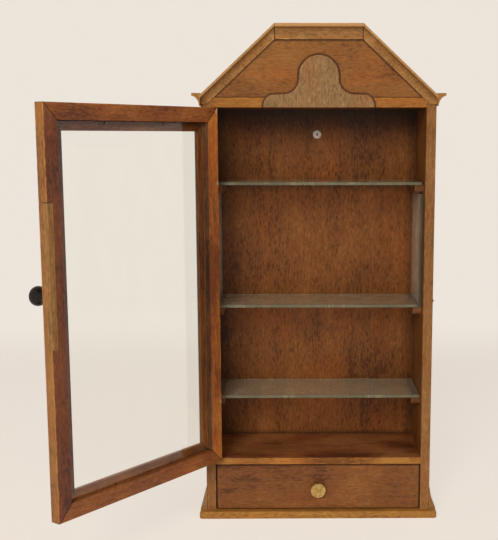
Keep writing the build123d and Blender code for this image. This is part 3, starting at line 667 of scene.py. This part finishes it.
# glass
shelfFace = glass("shelf_glass_face", (226, 216, 188), 0.01, 0.06, (238, 230, 206), 0.22)
shelfEdge = glass("shelf_glass_edge", (112, 108, 82), 0.22, 0.15, (146, 140, 110), 0.6)
paneFace = glass("pane_glass", (222, 208, 190), 0.08, 0.1, (236, 224, 208), 0.62)
doorFace = glass("door_glass_face", (250, 252, 249), 0.0, 0.0, (252, 253, 250))
doorGlassEdge = glass("door_glass_edge", (74, 74, 58), 0.15, 0.1, (92, 90, 70), 0.4)
paneEdge = glass("pane_glass_edge", (92, 88, 70), 0.15, 0.1, (120, 114, 92), 0.5)
glassEdge = 0.05
for level in levels:
    materials = [shelfFace, shelfEdge]
    softBoard(f"glass_shelf_{level}", materials, 0.0002, glassEdge, lambda n: int(abs(n.z) < 0.9))
for hand in ("left", "right"):
    softBoard(f"window_pane_{hand}", [paneFace, paneEdge], 0.0001, glassEdge, lambda n: int(abs(n.x) < 0.7))
softBoard("door_glass", [doorFace, doorGlassEdge], 0.0001, glassEdge, lambda n: int(abs(n.y) < 0.7))
print("glass done")

# metal
def axisOf(node):  # a point on the y axis of a turned node
    low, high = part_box(node)
    centre = (low + high) / 2
    return centre.x, 0, centre.z


brass = metal("aged_brass", (216, 182, 112), (166, 130, 72), 0.34, 0.2, axisOf("drawer_knob"))
hingeMetal = metal("dull_hinge_metal", (150, 130, 96), (92, 74, 52), 0.42)
screwMetal = metal("screw_steel", (222, 218, 208), (164, 154, 138), 0.4, 0.2, metallic=0.5)
zinc = metal(
    "zinc_screw", (246, 243, 236), (206, 200, 188), 0.42, 0.2, axisOf("back_screw"),
    metallic=0.2, recessShade=0.0017)
pinMetal = metal("blackened_pin_steel", (120, 112, 104), (66, 54, 44), 0.45)
for node in ("drawer_knob", "drawer_knob_nut"):
    dress(node, brass)
for node in nodes:
    if node.startswith("hinge_") and "screws" not in node:
        dress(node, hingeMetal)
dress("back_screw", zinc)
for node in ("back_nut", "hanging_plate"):
    dress(node, screwMetal)
dress("catch_pin", pinMetal)


# Geometry Nodes helpers
def newTree(name, inputs):
    tree = bpy.data.node_groups.new(name, "GeometryNodeTree")
    tree.is_modifier = True
    tree.interface.new_socket("Geometry", in_out="INPUT", socket_type="NodeSocketGeometry")
    for title, kind, value in inputs:
        socket = tree.interface.new_socket(title, in_out="INPUT", socket_type="NodeSocket" + kind)
        if value is not None:
            socket.default_value = value
    tree.interface.new_socket("Geometry", in_out="OUTPUT", socket_type="NodeSocketGeometry")
    return tree, tree.nodes.new("NodeGroupInput"), tree.nodes.new("NodeGroupOutput")


def geo(tree, kind, links=(), **settings):
    node = tree.nodes.new(kind)
    for key, value in settings.items():
        setattr(node, key, value)
    for socket, value in links:
        target = node.inputs[socket]
        if isinstance(value, bpy.types.NodeSocket):
            tree.links.new(value, target)
        else:
            target.default_value = value
    return node


def grow(name, mesh, tree, values, body, replaced):
    base = bpy.data.objects.new(name + "_base", mesh)
    scene.collection.objects.link(base)
    modifier = base.modifiers.new(name, "NODES")
    modifier.node_group = tree
    for item in tree.interface.items_tree:
        if item.item_type == "SOCKET" and item.in_out == "INPUT" and item.name in values:
            modifier[item.identifier] = values[item.name]
    bpy.context.view_layer.update()
    finished = bpy.data.meshes.new_from_object(base.evaluated_get(bpy.context.evaluated_depsgraph_get()))
    bpy.data.objects.remove(base)
    work = bmesh.new()
    work.from_mesh(finished)
    bmesh.ops.remove_doubles(work, verts=work.verts, dist=1e-7)
    bmesh.ops.dissolve_degenerate(work, dist=1e-7, edges=work.edges)
    bmesh.ops.delete(work, geom=[v for v in work.verts if not v.link_faces], context="VERTS")
    bmesh.ops.recalc_face_normals(work, faces=work.faces)
    for f in work.faces:
        f.smooth = True
    work.to_mesh(finished)
    work.free()
    finished.set_sharp_from_angle(angle=math.radians(35))
    piece = bpy.data.objects.new(name, finished)
    scene.collection.objects.link(piece)
    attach(piece, body)
    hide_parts(*replaced)
    return piece


slotShare, slotDepth, slotLift, maxLean = 2.4, 0.0008, 0.0002, 0.05


def placed(tree, mesh, translation):
    return geo(tree, "GeometryNodeTransform", (("Geometry", mesh), ("Translation", translation)))


def reckon(tree, operation, a, b):
    return geo(tree, "ShaderNodeMath", ((0, a), (1, b)), operation=operation).outputs[0]


def upBy(tree, height):
    return geo(tree, "ShaderNodeCombineXYZ", (("Z", height),)).outputs[0]


def fastenerTree():
    tree, start, end = newTree("fastenerSet", (
        ("Shank Radius", "Float", 0.0006), ("Shank Length", "Float", 0.006), ("Head Radius", "Float", 0.0012),
        ("Head Height", "Float", 0.0005), ("Head Sink", "Float", 0.0007), ("Slot Width", "Float", 0.0),
        ("Seed", "Int", 1), ("Material", "Material", None),
    ))
    given = start.outputs
    radius, seed = given["Head Radius"], given["Seed"]
    shank = geo(tree, "GeometryNodeMeshCylinder", (
        ("Vertices", 16), ("Radius", given["Shank Radius"]), ("Depth", given["Shank Length"])))
    middle = reckon(tree, "MULTIPLY", given["Shank Length"], -0.5)
    shank = placed(tree, shank.outputs["Mesh"], upBy(tree, middle))
    size = geo(tree, "ShaderNodeCombineXYZ", (("X", radius), ("Y", radius), ("Z", given["Head Height"])))
    dome = geo(tree, "GeometryNodeMeshUVSphere", (("Segments", 24), ("Rings", 12), ("Radius", 1.0)))
    dome = geo(tree, "GeometryNodeTransform", (
        ("Geometry", dome.outputs["Mesh"]), ("Scale", size.outputs[0])))
    cone = geo(tree, "GeometryNodeMeshCone", (
        ("Vertices", 24), ("Radius Top", radius), ("Radius Bottom", given["Shank Radius"]),
        ("Depth", given["Head Sink"])))
    cone = placed(tree, cone.outputs["Mesh"], upBy(tree, reckon(tree, "MULTIPLY", given["Head Sink"], -1.0)))
    head = geo(tree, "GeometryNodeMeshBoolean", operation="UNION", solver="MANIFOLD")
    for part in (dome, cone, shank):
        tree.links.new(part.outputs[0], head.inputs["Mesh 2"])
    slotSize = geo(tree, "ShaderNodeCombineXYZ", (
        ("X", reckon(tree, "MULTIPLY", radius, slotShare)), ("Y", given["Slot Width"]), ("Z", slotDepth)))
    slot = geo(tree, "GeometryNodeMeshCube", (("Size", slotSize.outputs[0]),))
    slotUp = upBy(tree, reckon(tree, "ADD", given["Head Height"], slotLift))
    slot = placed(tree, slot.outputs["Mesh"], slotUp)
    cut = geo(tree, "GeometryNodeMeshBoolean", operation="DIFFERENCE", solver="MANIFOLD")
    tree.links.new(head.outputs["Mesh"], cut.inputs["Mesh 1"])
    tree.links.new(slot.outputs[0], cut.inputs["Mesh 2"])
    hasSlot = geo(tree, "FunctionNodeCompare", (("A", given["Slot Width"]), ("B", 0.00001)),
                  data_type="FLOAT", operation="GREATER_THAN")
    shape = geo(tree, "GeometryNodeSwitch", (
        ("Switch", hasSlot.outputs[0]), ("False", head.outputs["Mesh"]), ("True", cut.outputs["Mesh"])),
        input_type="GEOMETRY")
    aim = geo(tree, "GeometryNodeInputNamedAttribute", (("Name", "aim"),), data_type="FLOAT_VECTOR")
    lean = geo(tree, "FunctionNodeRandomValue", (
        ("Min", (-maxLean,) * 3), ("Max", (maxLean,) * 3), ("Seed", seed)), data_type="FLOAT_VECTOR")
    aimed = geo(tree, "ShaderNodeVectorMath", ((0, aim.outputs[0]), (1, lean.outputs[0])), operation="ADD")
    turn = geo(tree, "FunctionNodeAlignRotationToVector", (("Vector", aimed.outputs[0]),), axis="Z")
    spin = geo(tree, "FunctionNodeRandomValue", ((2, -1.4), (3, 1.4), ("Seed", seed)), data_type="FLOAT")
    turned = geo(tree, "FunctionNodeRotateRotation", (
        ("Rotation", turn.outputs[0]), ("Rotate By", upBy(tree, spin.outputs[1]))), rotation_space="LOCAL")
    points = geo(tree, "GeometryNodeMeshToPoints", (("Mesh", given["Geometry"]),))
    copies = geo(tree, "GeometryNodeInstanceOnPoints", (
        ("Points", points.outputs[0]), ("Instance", shape.outputs[0]), ("Rotation", turned.outputs[0])))
    real = geo(tree, "GeometryNodeRealizeInstances", (("Geometry", copies.outputs[0]),))
    painted = geo(tree, "GeometryNodeSetMaterial", (
        ("Geometry", real.outputs[0]), ("Material", given["Material"])))
    tree.links.new(painted.outputs[0], end.inputs[0])
    return tree


def looseParts(node, toFrame):
    work = bmesh.new()
    work.from_mesh(nodes[node].data)
    bmesh.ops.remove_doubles(work, verts=work.verts, dist=1e-6)
    seen, boxes = set(), []
    for first in work.verts:
        if first in seen:
            continue
        stack, island = [first], []
        seen.add(first)
        while stack:
            v = stack.pop()
            island.append(toFrame @ v.co)
            for e in v.link_edges:
                w = e.other_vert(v)
                if w not in seen:
                    seen.add(w)
                    stack.append(w)
        boxes.append(extent(island))
    work.free()
    return boxes


def fastenerPoints(name, node, headSide):
    toFrame = flatFrame(node)
    back = toFrame.inverted()
    spots, aims = [], []
    for low, high in looseParts(node, toFrame):
        size = high - low
        axis = max(range(3), key=lambda i: size[i])
        centre = (low + high) / 2
        side = headSide(centre, axis)
        spot = centre.copy()
        spot[axis] = high[axis] if side > 0 else low[axis]
        aim = Vector((0, 0, 0))
        aim[axis] = side
        spots.append(back @ spot)
        aims.append((back.to_3x3() @ aim).normalized())
    mesh = bpy.data.meshes.new(name)
    mesh.from_pydata([tuple(s) for s in spots], [], [])
    attribute = mesh.attributes.new("aim", "FLOAT_VECTOR", "POINT")
    for i, aim in enumerate(aims):
        attribute.data[i].vector = aim
    return mesh


fasteners = fastenerTree()
hingeScrew = dict(
    material=screwMetal, slot=0.0004, shank=0.00058, length=0.0056,
    head=0.00126, height=0.00016, sink=0.00065)
pin = dict(material=pinMetal, slot=0.0, shank=0.00058, sink=0.0004)
fastenerKinds = {
    "cleat_pins": dict(
        pin, side=lambda c, axis: -1 if c.x > 0 else 1, length=0.0126, head=0.0011, height=0.00035, seed=3),
    "drawer_pins": dict(pin, side=lambda c, axis: -1, length=0.0155, head=0.00098, height=0.0002, seed=7),
    "glazing_sprigs": dict(
        side=lambda c, axis: 1 if c[axis] < glassMiddle[axis] else -1, material=pinMetal, slot=0.0,
        shank=0.00042, length=0.0058, head=0.00062, height=0.0002, sink=0.0003, seed=11),
    "hinge_screws_side": dict(hingeScrew, side=lambda c, axis: 1, seed=5),
    "hinge_screws_door": dict(hingeScrew, side=lambda c, axis: -1, seed=9),
}
glassCorners = [doorToFlat @ v.co for v in nodes["door_glass"].data.vertices]
glassMiddle = sum(glassCorners, Vector()) / len(glassCorners)
for node, kind in fastenerKinds.items():
    points = fastenerPoints(node + "_spots", node, kind["side"])
    grow(node + "_set", points, fasteners, {
        "Shank Radius": kind["shank"], "Shank Length": kind["length"], "Head Radius": kind["head"],
        "Head Height": kind["height"], "Head Sink": kind["sink"], "Slot Width": kind["slot"],
        "Seed": kind["seed"], "Material": kind["material"],
    }, nodes[node]["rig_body"], [node])
print("fasteners done")


# turned wooden knob: a straight line swept by a circle whose size follows the turner's profile
def turnedTree(profile):
    tree, start, end = newTree("turnedKnob", (
        ("Length", "Float", 0.02), ("Widest", "Float", 0.008), ("Rings", "Int", 90),
        ("Material", "Material", None)))
    given = start.outputs
    line = geo(tree, "GeometryNodeCurvePrimitiveLine", (("End", upBy(tree, given["Length"])),))
    line = geo(tree, "GeometryNodeResampleCurve", (
        ("Curve", line.outputs[0]), ("Count", given["Rings"])))
    share = geo(tree, "GeometryNodeSplineParameter")
    curve = geo(tree, "ShaderNodeFloatCurve", (("Value", share.outputs["Factor"]),))
    shape = curve.mapping.curves[0]
    while len(shape.points) < len(profile):
        shape.points.new(0.5, 0.5)
    for point, (at, wide) in zip(shape.points, profile):
        point.location = (at, wide)
    curve.mapping.update()
    radius = reckon(tree, "MULTIPLY", curve.outputs[0], given["Widest"])
    ring = geo(tree, "GeometryNodeCurvePrimitiveCircle", (("Resolution", 48), ("Radius", 1.0)))
    swept = geo(tree, "GeometryNodeCurveToMesh", (
        ("Curve", line.outputs[0]), ("Profile Curve", ring.outputs[0]),
        ("Scale", radius), ("Fill Caps", True)))
    real = geo(tree, "GeometryNodeRealizeInstances", (("Geometry", swept.outputs[0]),))
    painted = geo(tree, "GeometryNodeSetMaterial", (
        ("Geometry", real.outputs[0]), ("Material", given["Material"])))
    tree.links.new(painted.outputs[0], end.inputs[0])
    return tree


def knobWood():
    material = bpy.data.materials.new("dark_polished_knob")
    material.use_nodes = True
    tree = material.node_tree
    shader = tree.nodes["Principled BSDF"]
    place = put(tree, "TexCoord").outputs["Object"]
    flow = cloud(tree, stretched(tree, place, (240, 240, 900)), 4.0, 0.6)
    rub = cloud(tree, stretched(tree, place, (160, 160, 160)), 3.0, 0.6)
    colour = blend(tree, remap(tree, flow, 0.35, 0.7), shade(16, 10, 8), shade(34, 21, 15))
    colour = blend(tree, remap(tree, rub, 0.58, 0.74, 0.0, 0.4), colour, shade(66, 42, 27))
    relief = put(tree, "Bump")
    relief.inputs["Strength"].default_value = 0.2
    relief.inputs["Distance"].default_value = 0.0003
    feed(tree, relief.inputs["Height"], flow)
    feed(tree, shader.inputs["Base Color"], colour)
    feed(tree, shader.inputs["Roughness"], remap(tree, rub, 0.3, 0.75, 0.22, 0.42))
    feed(tree, shader.inputs["Normal"], relief.outputs[0])
    shader.inputs["Specular IOR Level"].default_value = 0.3
    return material


knob = dict(tenon=0.0046, reach=0.0195, widest=0.0084)
knobLength = knob["tenon"] + knob["reach"]
knobProfile = [
    (0.0, 0.285), (0.204, 0.285), (0.208, 0.44), (0.24, 0.44), (0.31, 0.37), (0.38, 0.36), (0.47, 0.45),
    (0.56, 0.68), (0.66, 0.93), (0.74, 1.0), (0.83, 0.97), (0.91, 0.78), (0.965, 0.5), (0.99, 0.26),
    (1.0, 0.04),
]
dot = bpy.data.meshes.new("knob_start")
dot.from_pydata([(0, 0, 0)], [], [])
knobPiece = grow("door_knob_turned", dot, turnedTree(knobProfile), {
    "Length": knobLength, "Widest": knob["widest"], "Rings": 90, "Material": knobWood(),
}, "door", ["door_knob"])
knobLow, knobHigh = extent([doorToFlat @ v.co for v in nodes["door_knob"].data.vertices])
knobMiddle = (knobLow + knobHigh) / 2
knobFoot = Matrix.Translation((knobMiddle.x, knobHigh.y, knobMiddle.z))
knobPlace = flatToDoor @ knobFoot @ Matrix.Rotation(quarterTurn, 4, "X")
knobPiece.data.transform(knobPlace)
print("turned knob done")

# floor and backdrop
paper = dict(
    lift=0.72, floor=(252, 242, 231), wall=(237, 229, 219), fadeFrom=0.35, fadeTo=1.3,
    ringFrom=1.0, ringTo=2.2, wallY=5.0, wide=80.0, near=-12.0, high=9.0, bend=0.8)


def backdropMesh():
    bendY, steps = paper["wallY"] - paper["bend"], 16
    profile = [(paper["near"], 0.0), (bendY, 0.0)]
    for i in range(1, steps + 1):
        a = quarterTurn * i / steps
        profile.append((bendY + paper["bend"] * math.sin(a), paper["bend"] * (1 - math.cos(a))))
    profile.append((paper["wallY"], paper["high"]))
    mesh = bpy.data.meshes.new("backdrop")
    wide = paper["wide"] / 2
    points = [(x, y, z) for y, z in profile for x in (-wide, wide)]
    faces = [(2 * i, 2 * i + 1, 2 * i + 3, 2 * i + 2) for i in range(len(profile) - 1)]
    mesh.from_pydata(points, [], faces)
    for polygon in mesh.polygons:
        polygon.use_smooth = True
    return mesh


def backdropMaterial():
    material = bpy.data.materials.new("pale_backdrop")
    material.use_nodes = True
    tree = material.node_tree
    shader = tree.nodes["Principled BSDF"]
    output = tree.nodes["Material Output"]
    place = put(tree, "TexCoord").outputs["Object"]
    parts = put(tree, "SeparateXYZ")
    feed(tree, parts.inputs[0], place)
    mottle = cloud(tree, stretched(tree, place, (5, 5, 5)), 3.0)
    away = put(tree, "VectorMath", operation="LENGTH")
    feed(tree, away.inputs[0], place)
    around = remap(tree, away.outputs["Value"], paper["ringFrom"], paper["ringTo"])
    beyond = remap(tree, parts.outputs[1], paper["fadeFrom"], paper["fadeTo"])
    distance = sums(tree, "MAXIMUM", around, beyond)
    colour = blend(tree, distance, shade(*paper["floor"]), shade(*paper["wall"]))
    colour = blend(tree, sums(tree, "MULTIPLY", mottle, 0.04), colour, shade(214, 204, 192))
    feed(tree, shader.inputs["Base Color"], colour)
    shader.inputs["Roughness"].default_value = 0.85
    shader.inputs["Specular IOR Level"].default_value = 0.2
    glow = put(tree, "Emission")
    feed(tree, glow.inputs["Color"], colour)
    glow.inputs["Strength"].default_value = 1.0
    path = put(tree, "LightPath")
    seen = path.outputs["Is Camera Ray"]
    for ray in ("Is Glossy Ray", "Is Transmission Ray"):
        seen = sums(tree, "MAXIMUM", seen, path.outputs[ray])
    upper = remap(tree, distance, 0.0, 1.0, paper["lift"], 1.0)
    mix = put(tree, "MixShader")
    feed(tree, mix.inputs[0], sums(tree, "MULTIPLY", seen, upper))
    feed(tree, mix.inputs[1], shader.outputs[0])
    feed(tree, mix.inputs[2], glow.outputs[0])
    feed(tree, output.inputs["Surface"], mix.outputs[0])
    return material


backdrop = bpy.data.objects.new("backdrop", backdropMesh())
backdrop.data.materials.append(backdropMaterial())
scene.collection.objects.link(backdrop)

# lamps and world
lampAim = Vector((0, 0, 0.25))
lamps = {
    "key": dict(place=(-0.6, -2.3, 1.25), size=1.0, power=39, colour=(1.0, 0.965, 0.92)),
    "fill": dict(place=(1.5, -1.9, 1.25), size=1.6, power=8, colour=(1.0, 0.98, 0.95)),
}
for name, lamp in lamps.items():
    data = bpy.data.lights.new(name, "AREA")
    data.shape = "DISK"
    data.size = lamp["size"]
    data.energy = lamp["power"]
    data.color = lamp["colour"]
    light = bpy.data.objects.new(name, data)
    light.visible_glossy = False
    light.visible_camera = False
    light.visible_transmission = False
    light.location = lamp["place"]
    light.rotation_euler = (lampAim - Vector(lamp["place"])).to_track_quat("-Z", "Y").to_euler()
    scene.collection.objects.link(light)

world = bpy.data.worlds.new("room")
world.use_nodes = True
sky = world.node_tree
skyPath = put(sky, "LightPath")
skyLevel = remap(sky, skyPath.outputs["Is Glossy Ray"], 0.0, 1.0, 0.2, 0.7)
seenSky = sums(sky, "MAXIMUM", skyPath.outputs["Is Camera Ray"], skyPath.outputs["Is Transmission Ray"])
skyInputs = sky.nodes["Background"].inputs
feed(sky, skyInputs["Color"], blend(sky, seenSky, (1.0, 0.965, 0.925, 1), shade(*paper["wall"])))
feed(sky, skyInputs["Strength"], sums(sky, "MAXIMUM", skyLevel, seenSky))
scene.world = world
scene.view_settings.view_transform = "Standard"

# camera
view = dict(place=(-0.020, -0.996383, 0.38275), tilt=81.31, turn=-0.5844, lens=65.54, shift=(-0.1094, 0.0309))
cameraData = bpy.data.cameras.new("camera")
cameraData.sensor_width = 36
cameraData.lens = view["lens"]
cameraData.shift_x, cameraData.shift_y = view["shift"]
cameraData.clip_start = 0.01
camera = bpy.data.objects.new("camera", cameraData)
camera.location = view["place"]
camera.rotation_euler = (math.radians(view["tilt"]), 0, math.radians(view["turn"]))
scene.collection.objects.link(camera)
scene.camera = camera
print("stage, lamps and camera done")
